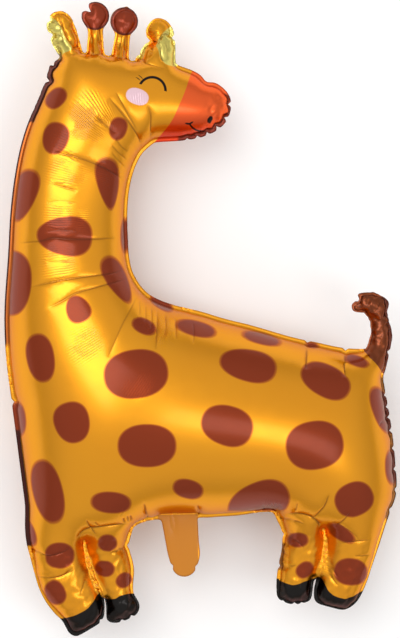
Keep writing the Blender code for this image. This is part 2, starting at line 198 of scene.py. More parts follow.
# Creases pressed into the foil: pixels along each, then in millimetres the depth, how far the
# foil slopes down to it on its left and on its right, and the depth of the sharp line in it,
# which also sets how dark the painted shade along that line is
CREASES = [
    ([(52, 152), (76, 157), (96, 164), (112, 172), (124, 180)], 2, 8, 6, 0.8),
    ([(109, 97), (119, 109), (129, 122), (138, 136), (143, 148)], 2, 5, 8, 0.9),
    ([(116, 92), (124, 106), (131, 119), (138, 132)], 1, 6, 3, 0.8),
    ([(96, 116), (106, 126), (116, 133)], 0.6, 4, 4, 0.4),
    ([(148, 104), (151, 115), (151, 126), (151, 142)], 1.4, 5, 5, 0.8),
    ([(52, 184), (66, 188), (78, 191)], 0.8, 5, 5, 0.5),
    ([(46, 203), (62, 201), (80, 204)], 0.2, 4, 4, 0.2),
    ([(20, 243), (40, 241), (52, 238), (66, 239), (92, 239), (116, 238)], 1.6, 7, 6, 0.9),
    ([(46, 232), (60, 230), (80, 231)], 0.3, 3, 3, 0.3),
    ([(30, 287), (56, 281), (82, 277), (112, 273), (125, 269)], 2, 8, 5, 0.8),
    ([(48, 308), (62, 301), (76, 293), (100, 286), (127, 279)], 2, 5, 10, 0.8),
    ([(137, 297), (128, 314), (120, 330), (108, 358)], 1.6, 8, 9, 0.5),
    ([(158, 310), (157, 330), (156, 350)], 0.8, 5, 5, 0.5),
    ([(140, 300), (140, 308), (139, 316)], 0.5, 3, 3, 0.3),
    ([(146, 303), (146, 313), (145, 322)], 0.5, 3, 3, 0.3),
    ([(152, 306), (152, 318), (151, 330)], 0.5, 3, 3, 0.4),
    ([(166, 312), (166, 324), (165, 338)], 0.5, 3, 3, 0.3),
    ([(176, 318), (176, 330), (176, 340)], 0.5, 3, 3, 0.4),
    ([(193, 322), (194, 332), (193, 344)], 0.5, 3, 3, 0.4),
    ([(46, 262), (58, 262), (68, 261)], 0.3, 4, 4, 0.2),
    ([(116, 139), (122, 147), (128, 152)], 0.5, 3, 3, 0.5),
    ([(112, 145), (119, 153), (127, 160)], 0.5, 3, 3, 0.5),
    ([(112, 152), (118, 160), (126, 168)], 0.5, 3, 3, 0.4),
    ([(144, 503), (146, 512), (148, 521)], 1.4, 4, 4, 1),
    ([(197, 505), (199, 512), (201, 519)], 1, 4, 4, 0.8),
    ([(123, 518), (124, 521), (125, 524)], 0.9, 2, 2, 0.8),
    ([(127, 516), (128, 519), (129, 522)], 0.9, 2, 2, 0.8),
    ([(130, 515), (131, 518), (132, 521)], 0.9, 2, 2, 0.8),
    ([(263, 504), (263, 508), (264, 513)], 0.9, 2, 2, 0.8),
    ([(267, 504), (268, 508), (268, 513)], 0.9, 2, 2, 0.8),
    ([(271, 503), (272, 508), (273, 513)], 0.9, 2, 2, 0.8),
    ([(275, 503), (277, 508), (278, 513)], 0.9, 2, 2, 0.8),
    ([(279, 504), (281, 509), (282, 513)], 0.9, 2, 2, 0.8),
    ([(297, 503), (296, 509), (294, 514)], 0.9, 3, 3, 0.6),
    ([(329, 495), (324, 507), (312, 521)], 1.6, 5, 5, 0.9),
    ([(350, 513), (343, 521), (336, 527)], 1.4, 4, 4, 0.8),
    ([(307, 348), (307, 358), (306, 369)], 1.8, 5, 5, 1),
    ([(346, 354), (345, 366), (346, 378)], 1.8, 5, 5, 1),
    ([(379, 426), (385, 420), (391, 415)], 1.2, 5, 5, 0.9),
    ([(86, 520), (90, 529), (96, 535)], 1.4, 4, 4, 0.9),
    ([(94, 522), (99, 528)], 0.6, 3, 3, 0.5),
    ([(26, 546), (36, 552), (48, 556), (62, 553), (70, 548)], 2.6, 5, 9, 0.8),
    ([(38, 576), (50, 578), (62, 576), (74, 570)], 1.8, 4, 8, 0.8),
    ([(50, 577), (60, 577), (68, 572), (73, 567)], 0.6, 3, 3, 0.6),
    ([(76, 540), (84, 532), (98, 529), (112, 527), (128, 524)], 4.5, 10, 5, 1),
    ([(110, 553), (118, 551), (127, 546)], 1.8, 4, 5, 0.8),
    ([(92, 575), (96, 586), (99, 594)], 1.6, 4, 4, 0.6),
    ([(80, 596), (84, 584), (86, 574)], 1, 5, 5, 0.5),
    ([(272, 517), (284, 519), (296, 522), (304, 524)], 1.8, 5, 4, 0.8),
    ([(280, 515), (296, 515), (310, 518), (320, 526), (323, 534)], 4.5, 10, 5, 1),
    ([(292, 530), (288, 538), (286, 546)], 1.2, 4, 5, 0.6),
    ([(286, 536), (296, 541), (304, 548)], 0.9, 4, 4, 0.7),
    ([(283, 569), (290, 567), (296, 565)], 0.9, 4, 4, 0.6),
    ([(332, 522), (342, 527), (352, 533), (360, 541)], 1.6, 5, 5, 0.5),
    ([(340, 543), (354, 542), (370, 540)], 1.6, 5, 6, 0.7),
    ([(354, 556), (362, 556), (370, 555)], 0.9, 4, 4, 0.6),
    ([(327, 564), (331, 577), (338, 586)], 1.4, 4, 5, 0.6),
    ([(330, 560), (333, 570), (338, 578)], 0.8, 3, 3, 0.5),
    ([(64, 56), (82, 53), (104, 54), (126, 58), (146, 63), (166, 69)], 2.6, 4, 3, 0.5),
    ([(90, 32), (92, 44), (90, 58)], 1.8, 3, 3, 0.8),
    ([(98, 30), (99, 42), (101, 57)], 1.4, 3, 3, 0.6),
    ([(122, 33), (119, 46), (117, 60)], 1.8, 3, 3, 0.8),
    ([(126, 34), (125, 46), (124, 60)], 1.8, 3, 3, 0.8),
    ([(130, 52), (138, 57), (146, 62)], 1.6, 4, 4, 0.8),
    ([(146, 38), (152, 41), (158, 39), (166, 33), (173, 37)], 4.5, 4, 6, 1),
    ([(153, 42), (151, 50), (148, 58)], 2.2, 3, 4, 0.8),
    ([(160, 44), (161, 53), (164, 62)], 2.2, 3, 3, 0.8),
    ([(166, 40), (167, 52), (169, 64)], 1.2, 3, 3, 0.6),
    ([(140, 46), (146, 48)], 0.8, 2, 2, 0.6),
    ([(138, 51), (145, 53)], 0.8, 2, 2, 0.6),
    ([(58, 14), (62, 24), (67, 36), (74, 46), (82, 54)], 3, 4, 5, 0.8),
    ([(49, 20), (57, 22), (62, 27)], 2.2, 3, 3, 0.8),
    ([(48, 35), (55, 36), (61, 33)], 3, 4, 3, 0.8),
    ([(60, 35), (63, 44), (68, 51)], 2.2, 3, 3, 0.8),
    ([(56, 40), (58, 48), (62, 56)], 1.6, 3, 3, 0.8),
    ([(72, 50), (78, 46), (82, 47)], 1.6, 3, 3, 0.8),
    ([(370, 305), (372, 314), (376, 320), (386, 321)], 2.4, 4, 4, 0.8),
    ([(387, 300), (386, 311), (384, 322)], 1.8, 3, 4, 0.8),
    ([(380, 300), (378, 308), (374, 313)], 1.4, 3, 3, 0.6),
    ([(388, 324), (390, 338), (391, 352), (388, 366)], 2.4, 4, 5, 0.8),
    ([(393, 330), (397, 345), (398, 358)], 1.4, 3, 3, 0.6),
]
SHARP_WIDTH = 1.15
CREASE_REACH = 0.005

# Where the outline is pulled in: pixel, depth and width in millimetres. Less than nothing
# pushes it out.
PULLS = [
    (84.5, 7.5, 13, 5), (54, 66, 6, 3.2), (47, 81, 6, 3), (306, 347, 3.5, 2.6),
    (345, 353, 4, 2.6), (15, 401, 4, 3), (46, 19, 5, 3.4), (46, 37, 6.5, 4),
    (150, 40, 5, 3), (174, 37, 5, 3), (150, 61, 3, 3), (104, 622, 4, 2.4),
    (122, 622, 4, 2.4), (131, 615, 4, 2.4), (293.5, 607, 3.5, 2.4), (303, 606, 2.5, 2.2),
    (281, 604, 2.5, 2.2), (226, 105, 5, 2.4), (226, 118, 6, 2.4), (217, 128, 6, 2.4),
    (208, 134, 5, 2.2), (198, 137, 4.5, 2.2), (188, 140, 3, 2.2), (171, 566, 3, 3),
    (196, 567, 2.5, 3), (391, 393, 3.5, 2.4), (393, 405, 4, 2.4), (395, 416, 4.5, 2.4),
    (397, 430, 4.5, 2.6), (400, 448, 4, 2.6), (402, 468, 4, 2.6), (402, 490, 3.5, 3),
    (396, 512, 3, 3), (398, 354, 4, 3), (280, 535, 3, 3), (277, 566, 3, 3),
    (207, 79, 5, 9), (127, 9, -2, 2.4), (235, 513, -3.5, 42), (205, 514, -2.5, 30),
    (128, 545, 3, 3),
]

# Where the outline is scalloped: pixel, radius in pixels, depth and length in millimetres
SCALLOP_WANDER = 1.3
SCALLOP_WANDER_RATE = 1.7
SCALLOPS = [
    (45, 90, 40, 0.8, 10), (372, 318, 36, 1.2, 13), (66, 22, 22, 1, 9),
]

# Small puckers square to the weld, all the way round, in metres, and the places where they
# are strong: pixel, radius in pixels and strength
PUCKER_GAPS = (0.008, 0.018)
PUCKER_DEPTHS = (0.0006, 0.0017)
PUCKER_WIDTHS = (0.0022, 0.0036)
PUCKER_LENGTHS = (0.010, 0.046)
PUCKER_RISE = 0.003
PUCKER_SPREAD = 0.030
PUCKER_LEAST = 0.10
PUCKER_LEAN = 0.25
PLACE_STEEP = 1.6
PUCKERED = [
    (135, 517, 32, 0.9), (166, 514, 30, 0.8), (265, 512, 26, 1.0), (300, 512, 25, 0.5),
    (392, 430, 60, 0.7), (165, 312, 42, 0.6), (215, 330, 40, 0.4), (128, 168, 24, 0.5),
    (62, 60, 20, 0.9), (110, 60, 30, 0.8), (158, 66, 25, 0.8), (222, 116, 26, 0.9),
    (372, 366, 28, 0.9), (30, 562, 34, 0.5), (84, 607, 40, 0.4), (120, 606, 30, 0.6),
    (300, 595, 40, 0.6), (10, 372, 40, 0.6), (198, 138, 20, 0.7), (278, 545, 34, 0.7),
    (372, 318, 40, 0.6), (62, 36, 32, 1.0), (157, 42, 30, 1.0), (88, 572, 26, 0.8),
    (324, 560, 26, 0.8),
]
RUFFLE = 0.0011
SWAY_LEAST = 0.3
SWAY_FADE = 0.004
TAB_CALMING = 0.02
RIB_FADE = 0.010
RIB_LENGTH = 0.0036

# Crumpled foil on the small shapes: pixel, radius in pixels, height in millimetres, and how
# far the shape is from fully swollen
CRUMPLED = [
    (62, 36, 34, 1.1, 0.8), (165, 48, 24, 1.1, 0.8), (157, 28, 22, 0.3, 0.8),
    (142, 52, 16, 0.5, 0.8), (95, 15, 18, 0.25, 0.9), (108, 53, 15, 0.9, 0.4),
    (134, 58, 14, 0.9, 0.4), (82, 51, 13, 0.9, 0.4),
    (125, 21, 18, 0.9, 0.8), (95, 46, 20, 0.5, 0.8), (120, 47, 20, 0.5, 0.8),
    (375, 318, 36, 1.5, 0.8), (380, 350, 26, 1.0, 0.5), (84, 607, 34, 0.7, 0.7),
    (120, 606, 28, 0.9, 0.8), (294, 594, 26, 0.9, 0.8), (340, 598, 32, 0.7, 0.7),
    (104, 560, 34, 0.7, 0.5), (56, 576, 40, 0.5, 0.3), (297, 550, 34, 0.6, 0.5),
    (350, 562, 36, 0.4, 0.3), (219, 106, 20, 0.9, 0.3),
]
SMALL_SWELL = 0.014
CRUMPLE_FOLDS = 7
CRUMPLE_LENGTHS = (0.010, 0.026)
CRUMPLE_BENDS = (0.15, 0.35)
CRUMPLE_ON_WELD = 0.6
WELD_LIFT = 0.018
WELD_LIFT_WIDTH = 0.007
WELD_LIFT_RISE = 0.02
WELD_BEADS = 0.02
WELD_BEAD_LENGTH = 0.009

# The middle of the swollen tube from the rump to the snout, in pixels: fine ripples cross it
RIPPLE_PATH = [(300, 430), (230, 415), (170, 405), (120, 375), (88, 330), (70, 285), (64, 235),
               (66, 190), (78, 150), (98, 118), (130, 104), (165, 104), (205, 112)]
RIPPLE_LENGTH = 2.3
RIPPLE_EVENING = 40
RIPPLE_STEEP = 1.3
RIPPLES = [
    (88, 118, 32, 1.7), (66, 172, 28, 0.7), (66, 215, 28, 0.8), (60, 262, 28, 0.6),
    (84, 345, 26, 0.7), (135, 385, 24, 0.6), (160, 325, 30, 0.6), (138, 98, 12, 0.7),
    (60, 135, 20, 0.5), (272, 508, 14, 0.6), (126, 518, 14, 0.6), (110, 172, 22, 0.5),
]

# Dark parts of the weld, mostly painted shade where the folded flange lies in shade, and a few
# dark bits of the printed mane near the left ear: pixel and radius in pixels
SHADE_FADE = 4
SHADE_RIM = 0.4
SHADED_WELD_AND_MANE = [
    (224, 116, 22), (206, 134, 16), (190, 140, 12), (393, 396, 22), (398, 430, 26),
    (402, 470, 26), (400, 505, 20), (396, 345, 24), (392, 312, 18), (60, 62, 9),
    (52, 68, 9), (46, 82, 9), (279, 556, 14),
]

# Colours of the print, and of the painted shade on the weld and along the creases, red, green and
# blue
GOLD = (0.84, 0.350, 0.011, 1)
GOLD_DEEP = (0.80, 0.300, 0.008, 1)
SPOT_COLOUR = (0.225, 0.027, 0.004, 1)
SPOT_EDGE = (0.50, 0.12, 0.010, 1)
MUZZLE_COLOUR = (0.92, 0.125, 0.022, 1)
MUZZLE_DEEP = (0.70, 0.045, 0.006, 1)
HOOF_COLOUR = (0.009, 0.007, 0.006, 1)
TAIL_COLOUR = (0.20, 0.042, 0.010, 1)
BALL_COLOUR = (0.25, 0.030, 0.007, 1)
BALL_EDGE = (0.10, 0.012, 0.006, 1)
PANEL_COLOUR = (0.72, 0.60, 0.14, 1)
CHEEK_COLOUR = (0.82, 0.56, 0.62, 1)
TAB_COLOUR = (0.52, 0.19, 0.018, 1)
MANE_COLOUR = (0.045, 0.007, 0.004, 1)
BROWN_COLOUR = (0.46, 0.11, 0.010, 1)
# Painted shade: first on the folded weld, then along the creases
SHADE_COLOUR = (0.06, 0.010, 0.005, 1)
CREASE_SHADE_COLOUR = (0.10, 0.018, 0.002, 1)
INK = (0.008, 0.004, 0.003, 1)

# How softly the printed areas end, in pixels, and how strongly the painted shade on the weld
# and along the creases covers the foil
PRINT_AND_SHADE_AREAS = ("muzzle", "hoof", "dark", "panel", "mane", "tab", "cheek", "nostril", "balls",
                 "brown", "shade")
PRINT_SOFT = 0.45
STROKE_SOFT = 0.3
SPOT_RIM = (-0.3, 0.7)
SPOT_SOFT = 0.6
SNOUT_ROW = 124.0
SNOUT_SOFT = 16.0
BALL_RIM = 2.2
BALL_SOFT = 1.0
SHADE_SHARE = 0.85
CREASE_SHADE_SHARE = 0.78

# Gloss of the foil
TAB_METALLIC = 0.5
CHEEK_METALLIC = 0.55
SPOT_METALLIC = 0.55
BALL_METALLIC = 0.6
FOIL_ROUGHNESS = (0.27, 0.35)
TAB_ROUGHNESS = 0.5
HOOF_ROUGHNESS = 0.34
FOIL_GLOSS = {
    "Coat Weight": 0.25, "Coat Roughness": 0.16, "Coat IOR": 1.6,
    "Specular IOR Level": 0.2, "Specular Tint": (0.78, 0.46, 0.24, 1),
}

# Scales of the noise in the colour and in the fine relief, and the relief's height in metres
GOLD_NOISE = 7.0
FINE_NOISE = 60.0
RIPPLE_NOISE = 30.0
RIPPLE_WANDER = 3.0
PATCH_NOISE = 38.0
PATCH_LIMIT = 0.45
PATCH_SOFT = 0.18
RIB_WANDER = 6.0
RELIEF_HEIGHT = 0.00028

# The studio: lamps with their places, sizes and power, a pale floor and a soft sky
LIT_POINT = (0, 0, 0.1)
LAMPS = [
    ("main", (-1.7, 1.4, 3.9), (2.9, 3.2), 83),
    ("side", (1.8, -0.8, 4.1), (1.1, 3.0), 25),
]
FLOOR_COLOUR = (0.97, 0.97, 0.97, 1)
FLOOR_ROUGHNESS = 0.9
FLOOR_HALF = 12.0
FLOOR_DROP = 0.0005
SKY_LOW = 0.42
SKY_HIGH = 0.80
SKY_RISE = 0.5


def camera_axes():
    """The camera's right, up and back, with its place, all in the model's frame."""
    back = Vector((-math.sin(CAMERA_LEFT), math.sin(CAMERA_UP), 1)).normalized()
    right = Vector((0, 1, 0)).cross(back).normalized()
    place = Vector((*PHOTO_CENTRE, SEAM)) + back * CAMERA_DISTANCE
    return right, back.cross(right), back, place


def to_pixels(points):
    """Where the photograph shows these points."""
    right, up, back, place = (np.array(axis) for axis in camera_axes())
    way = points - place
    scale = CAMERA_DISTANCE / PIXEL / -(way @ back)
    return np.stack([
        PHOTO_WIDTH / 2 + (way @ right) * scale,
        PHOTO_HEIGHT / 2 - (way @ up) * scale,
    ], axis=1)


def on_seam_plane(points):
    """The points, seen from above, put on the weld's plane."""
    return np.column_stack([points, np.full(len(points), SEAM)])


def line_of_sight(pixel):
    """The camera's place, and the way from it through this pixel."""
    right, up, back, place = camera_axes()
    way = right * (pixel[0] - PHOTO_WIDTH / 2) - up * (pixel[1] - PHOTO_HEIGHT / 2)
    return place, way - back * (CAMERA_DISTANCE / PIXEL)


def on_seam(pixel):
    """The point on the weld's plane that the photograph shows at this pixel."""
    place, way = line_of_sight(pixel)
    return np.array((place + way * ((SEAM - place.z) / way.z))[:2])


def on_foil(pixels, tree):
    """The points, seen from above, that the photograph shows at these pixels."""
    hits = [tree.ray_cast(*line_of_sight(pixel))[0] for pixel in pixels]
    return np.array([
        on_seam(pixel) if hit is None else hit[:2] for pixel, hit in zip(pixels, hits)
    ])


def front_outline():
    """The outer edge of the solid's front sheet, anticlockwise."""
    places = np.array([vertex.co[:] for vertex in CAD.vertices])
    keys = np.round(places * GRID_PER_METRE).astype(int)
    _, first, index = np.unique(keys, axis=0, return_index=True, return_inverse=True)
    index = index.ravel()
    sides = set()
    for polygon in CAD.polygons:
        if polygon.normal.z > LEAST_RISE:
            corners = [index[i] for i in polygon.vertices]
            sides.update(zip(corners, corners[1:] + corners[:1]))
    return places[first[longest_loop(sides)]]


def longest_loop(sides):
    """The longest loop of those sides that no other side runs back along."""
    following = {a: b for a, b in sides if (b, a) not in sides}
    loops = []
    while following:
        start, here = following.popitem()
        loop = [start]
        while here != start and here in following:
            loop.append(here)
            here = following.pop(here)
        loops.append(loop)
    return max(loops, key=len)


def sizes(vectors):
    return np.linalg.norm(vectors, axis=1)


def smooth_ring(ring, step):
    """A smooth closed curve through the points, in steps of about this length."""
    before, after = np.roll(ring, 1, axis=0), np.roll(ring, -1, axis=0)
    ahead = sizes(after - ring)
    behind = np.roll(ahead, 1)
    slope = (after - before) / (ahead + behind)[:, None]
    curve = []
    for i in range(len(ring)):
        here, there = ring[i], ring[(i + 1) % len(ring)]
        start, end = slope[i] * ahead[i], slope[(i + 1) % len(ring)] * ahead[i]
        steps = max(1, round(ahead[i] / step * 2))
        for t in np.arange(steps) / steps:
            curve.append(
                here * (2 * t**3 - 3 * t**2 + 1) + start * (t**3 - 2 * t**2 + t)
                + there * (3 * t**2 - 2 * t**3) + end * (t**3 - t**2)
            )
    return even_ring(np.array(curve), step)


def passed_along(line):
    """How much of the line's length lies before each of its points."""
    return np.concatenate([[0], np.cumsum(sizes(np.diff(line, axis=0)))])


def at_lengths(line, wanted):
    """The points of a line that lie these lengths along it."""
    length = passed_along(line)
    return np.stack([np.interp(wanted, length, line[:, k]) for k in (0, 1)], axis=1)


def even_ring(ring, step):
    """The ring cut again into even steps."""
    closed = np.vstack([ring, ring[:1]])
    length = passed_along(closed)[-1]
    return at_lengths(closed, np.linspace(0, length, round(length / step), endpoint=False))


def even_line(line, step):
    """The open line cut again into even steps."""
    length = passed_along(line)[-1]
    return at_lengths(line, np.linspace(0, length, max(3, round(length / step) + 1)))


def softened(ring, passes):
    for _ in range(passes):
        ring = (np.roll(ring, -1, axis=0) + 2 * ring + np.roll(ring, 1, axis=0)) / 4
    return ring


def leftward(ways):
    """Unit vectors to the left of these ways."""
    ways = ways / sizes(ways)[:, None]
    return np.stack([-ways[:, 1], ways[:, 0]], axis=1)


def inward(ring):
    return leftward(np.roll(ring, -1, axis=0) - np.roll(ring, 1, axis=0))


def distance_to(points, ring, closed=True):
    """Each point's distance to a ring or line of points."""
    start = np.array(ring, float)
    end = np.roll(start, -1, axis=0)
    if not closed:
        start, end = start[:-1], end[:-1]
    nearest = np.full(len(points), np.inf)
    for p, q in zip(start, end):
        d = q - p
        share = np.clip((points - p) @ d / max(d @ d, TINY), 0, 1)
        gap = points - p - share[:, None] * d
        nearest = np.minimum(nearest, np.einsum("ij,ij->i", gap, gap))
    return np.sqrt(nearest)


def is_inside(points, ring):
    corners = np.array(ring, float)
    inside = np.zeros(len(points), bool)
    for (x0, y0), (x1, y1) in zip(corners, np.roll(corners, -1, axis=0)):
        if y0 == y1:
            continue
        crosses = (points[:, 1] > min(y0, y1)) & (points[:, 1] <= max(y0, y1))
        x_there = x0 + (points[:, 1] - y0) * (x1 - x0) / (y1 - y0)
        inside ^= crosses & (points[:, 0] < x_there)
    return inside


def pulled_in(ring):
    """The outline with its folds and scallops, which gathered foil makes along the weld."""
    depth = np.zeros(len(ring))
    for x, y, pull, width in PULLS:
        middle = sizes(ring - on_seam((x, y))).argmin()
        gap = sizes(ring - ring[middle]) * MILLIMETRES
        depth += pull * np.exp(-(gap / width) ** 2)
    along = np.arange(len(ring)) * OUTLINE_STEP * MILLIMETRES
    for x, y, radius, height, length in SCALLOPS:
        gap = sizes(ring - on_seam((x, y))) / (radius * PIXEL)
        wander = SCALLOP_WANDER * np.sin(along / length * SCALLOP_WANDER_RATE)
        wave = 1 - np.abs(np.sin(math.pi * along / length + wander))
        depth += height * wave * np.clip(2 - 2 * gap, 0, 1)
    return ring + inward(ring) * (depth / MILLIMETRES)[:, None]


def strip_round(line, half, reach):
    """A strip round a line, drawn on past its last point by this reach."""
    line = np.array(line)
    on = line[-1] - line[-2]
    line = np.vstack([line, line[-1] + on / np.linalg.norm(on) * reach])
    side = leftward(np.gradient(line, axis=0)) * half
    tip = line[0] - (side[0, 1], -side[0, 0])
    return np.vstack([line - side, (line + side)[::-1], [tip]])


def without(ring, cutters):
    """The largest piece of the ring's area that is left outside the cutters."""
    points, faces = [], []
    for each in [ring, *cutters]:
        faces.append(list(range(len(points), len(points) + len(each))))
        points.extend(Vector(point) for point in each)
    points, _, triangles, _, _, owners = delaunay_2d_cdt(points, [], faces, 1, MERGE_GAP)
    sides = set()
    for (a, b, c), owner in zip(triangles, owners):
        if owner == [0]:
            sides.update(((a, b), (b, c), (c, a)))
    return np.array([points[i][:] for i in longest_loop(sides)])


def flange_width(outline):
    """The flange's width at each point of the outline: folded narrower on the small shapes."""
    return FLANGE_WIDTH * (1 - NARROWER * small_shape(outline)[0])


def weld_ring(outline):
    """The inner edge of the weld, round all that the gas fills."""
    width = flange_width(outline)
    moved = outline + inward(outline) * width[:, None]
    moved = moved[distance_to(moved, outline) > width * WELD_KEPT]
    half = TAB_WIDTH / 2 + FLANGE_WIDTH
    top = TAB_ROOT[1] + LEG_WELD_WIDTH / 2
    low = TAB_ROOT[1] - TAB_BOX_DEPTH
    left, right = TAB_ROOT[0] - half, TAB_ROOT[0] + half
    tab = [(left, low), (right, low), (right, top), (left, top)]
    slits = [strip_round(line, LEG_WELD_WIDTH / 2, WELD_RUN_ON) for line in LEG_WELDS]
    ring = even_ring(without(moved, [tab, *slits]), WELD_STEP)
    return softened(ring, WELD_SOFTENING)


def band(ring):
    """Rings inward from the weld, closest together there, where the foil is steepest."""
    way = inward(softened(ring, 2))
    reach = np.full(len(ring), BAND_DEPTH / BAND_REACH_SHARE)
    for _ in range(BAND_TRIES):
        blocked = distance_to(ring + way * reach[:, None], ring) < reach * BAND_FREE
        reach[blocked] *= BAND_SHRINK
    depth = reach * BAND_REACH_SHARE
    around = range(-BAND_NEIGHBOURS, BAND_NEIGHBOURS + 1)
    lowest = np.min([np.roll(depth, k) for k in around], axis=0)
    depth = np.mean([np.roll(lowest, k) for k in around], axis=0)
    depth = np.minimum(depth, reach * BAND_MOST)
    shares = (np.arange(1, BAND_RINGS + 1) / BAND_RINGS) ** 2
    return [ring + way * (depth * share)[:, None] for share in shares]


def fold_lines():
    """Every crease as a line of points seen from above, with its sizes."""
    tree = BVHTree.FromPolygons(
        [vertex.co for vertex in CAD.vertices], [polygon.vertices for polygon in CAD.polygons]
    )
    return [(on_foil(curved(line), tree), *rest) for line, *rest in CREASES]


def crease_points(folds, ring):
    """Rows of points along every crease, none closer together than the crease room."""
    rows = []
    for line, *_ in folds:
        line = even_line(line, CREASE_STEP)
        side = leftward(np.gradient(line, axis=0))
        rows.extend(line + side * shift for shift in CREASE_ROWS)
    points = np.vstack(rows)
    points = points[is_inside(points, ring)]
    points = points[gaps_to(even_ring(ring, FINE_ROOM / 2), points) > FINE_ROOM]
    tree = tree_of(points)
    kept = np.ones(len(points), bool)
    for i, (x, y) in enumerate(points):
        if kept[i]:
            for _, j, _ in tree.find_range((x, y, 0), CREASE_ROOM):
                kept[j] = kept[j] and j <= i
    return points[kept]


def tree_of(points):
    tree = KDTree(len(points))
    for i, point in enumerate(points):
        tree.insert((point[0], point[1], 0), i)
    tree.balance()
    return tree


def nearest_marks(marks, points):
    """The mark nearest to each point, as its place, number and distance."""
    tree = tree_of(marks)
    return [tree.find((point[0], point[1], 0)) for point in points]


def gaps_to(marks, points):
    """Each point's distance to the nearest mark."""
    return np.array([gap for _, _, gap in nearest_marks(marks, points)])


def falling(pixels, row, steep=PLACE_STEEP):
    """1 round the row's pixel, falling to 0 at its radius."""
    return smooth_step(steep - steep * sizes(pixels - row[:2]) / row[2])


def small_shape(points):
    """How far each point is inside the small shapes, and how slack the foil is, 0 to 1."""
    pixels = to_pixels(on_seam_plane(points))
    inside = [falling(pixels, row) for row in CRUMPLED]
    slack = [share * row[4] for share, row in zip(inside, CRUMPLED)]
    return np.max(inside, axis=0), np.max(slack, axis=0)


def rows_of_points(ring, step, room):
    """Points in rows a step apart inside the ring, this far or more from it."""
    low, high = ring.min(axis=0), ring.max(axis=0)
    height = step * math.sqrt(3) / 2
    rows = np.arange(low[1], high[1], height)
    columns = np.arange(low[0], high[0], step)
    x = np.tile(columns, len(rows)) + np.repeat(step / 2 * (np.arange(len(rows)) % 2), len(columns))
    found = np.stack([x, np.repeat(rows, len(columns))], axis=1)
    found = found[is_inside(found, ring)]
    return found[gaps_to(even_ring(ring, room / 2), found) > room]


def triangulated(points, edges, ring):
    """Triangles over the ring's area, as numbers of the points given."""
    vectors = [Vector(point) for point in points]
    places, _, faces, origins, _, _ = delaunay_2d_cdt(vectors, edges, [ring], 1, MERGE_GAP)
    tree = tree_of(points)
    number = [
        origin[0] if origin else tree.find((place[0], place[1], 0))[1]
        for place, origin in zip(places, origins)
    ]
    found = np.array([[number[i] for i in face] for face in faces])
    whole = (found != np.roll(found, 1, axis=1)).all(axis=1)
    return found[whole]


def flange_points(outline, welded):
    """Points on the flat weld: along its middle, and in rows over the tab."""
    width = flange_width(outline)
    middle = outline + inward(outline) * width[:, None] / 2
    middle = middle[distance_to(middle, outline) > width * MIDDLE_KEPT]
    flat = rows_of_points(outline, TAB_LATTICE_STEP, FLANGE_WIDTH * TAB_ROOM_SHARE)
    flat = flat[~is_inside(flat, welded)]
    flat = flat[distance_to(flat, welded) > TAB_LATTICE_STEP / 2]
    return np.vstack([outline, middle, flat])


def inner_points(ring, folds):
    """Points inside the last ring: along the creases, fine on the small shapes, else coarse."""
    pressed = crease_points(folds, ring)
    fine = rows_of_points(ring, FINE_STEP, FINE_ROOM)
    fine = fine[small_shape(fine)[0] > FINE_INSIDE]
    fine = fine[gaps_to(pressed, fine) > FINE_STEP * KEPT_APART]
    inner = np.vstack([pressed, fine])
    coarse = rows_of_points(ring, LATTICE_STEP, LATTICE_STEP * RING_ROOM_SHARE)
    coarse = coarse[gaps_to(inner, coarse) > LATTICE_STEP * KEPT_APART]
    return np.vstack([inner, coarse])


def plan_mesh(outline, folds):
    """One sheet seen from above: its points, its triangles, and what each point belongs to."""
    welded = weld_ring(outline)
    rings = [welded] + band(welded)
    count = len(welded)
    outer = flange_points(outline, welded)
    points = np.vstack([outer, *rings, inner_points(rings[-1], folds)])
    start = len(outer)
    loop = [(start + i, start + (i + 1) % count) for i in range(count)]
    flange = triangulated(points[:start + count], loop, list(range(len(outline))))
    flange = flange[~is_inside(points[flange].mean(axis=1), welded)]

    last = start + BAND_RINGS * count
    core = triangulated(points[last:], [], list(range(count))) + last
    strips = []
    here = np.arange(count)
    there = np.roll(here, -1)
    for low in range(start, last, count):
        strips.append(np.stack([low + here, low + there, low + count + there], axis=1))
        strips.append(np.stack([low + here, low + count + there, low + count + here], axis=1))
    return {
        "points": points,
        "flange": flange,
        "swollen": np.vstack([*strips, core]),
        "outline": len(outline),
        "weld": (start, start + count),
        "rings": (start, last + count),
    }


def pressure_field(points, triangles, free):
    """The field that pressure raises inside the weld, by conjugate gradients."""
    corners = points[triangles]
    edges = corners[:, [2, 0, 1]] - corners[:, [1, 2, 0]]
    area = np.abs(edges[:, 0, 0] * edges[:, 1, 1] - edges[:, 0, 1] * edges[:, 1, 0]) / 2
    area = np.maximum(area, LEAST_AREA)
    stiffness = np.einsum("tik,tjk->tij", edges, edges) / (4 * area)[:, None, None]
    count = len(points)
    flat = triangles.ravel()
    load = np.bincount(flat, np.repeat(area / 3, 3), count) * free
    diagonal = np.bincount(flat, np.einsum("tii->ti", stiffness).ravel(), count)
    diagonal[diagonal == 0] = 1

    def applied(field):
        pull = np.einsum("tij,tj->ti", stiffness, field[triangles])
        return np.bincount(flat, pull.ravel(), count) * free

    field = np.zeros(count)
    rest = load.copy()
    step = rest / diagonal
    way = step.copy()
    size = rest @ step
    first = size
    for _ in range(SOLVER_STEPS):
        moved = applied(way)
        share = size / (way @ moved)
        field += share * way
        rest -= share * moved
        step = rest / diagonal
        fresh = rest @ step
        if fresh < first * SOLVER_ENOUGH:
            break
        way = step + way * (fresh / size)
        size = fresh
    return field


def normals_of(places, triangles):
    corners = places[triangles]
    face = np.cross(corners[:, 1] - corners[:, 0], corners[:, 2] - corners[:, 0])
    found = np.zeros_like(places)
    for k in range(3):
        for axis in range(3):
            found[:, axis] += np.bincount(triangles[:, k], face[:, axis], len(places))
    return found / np.maximum(sizes(found), TINY)[:, None]


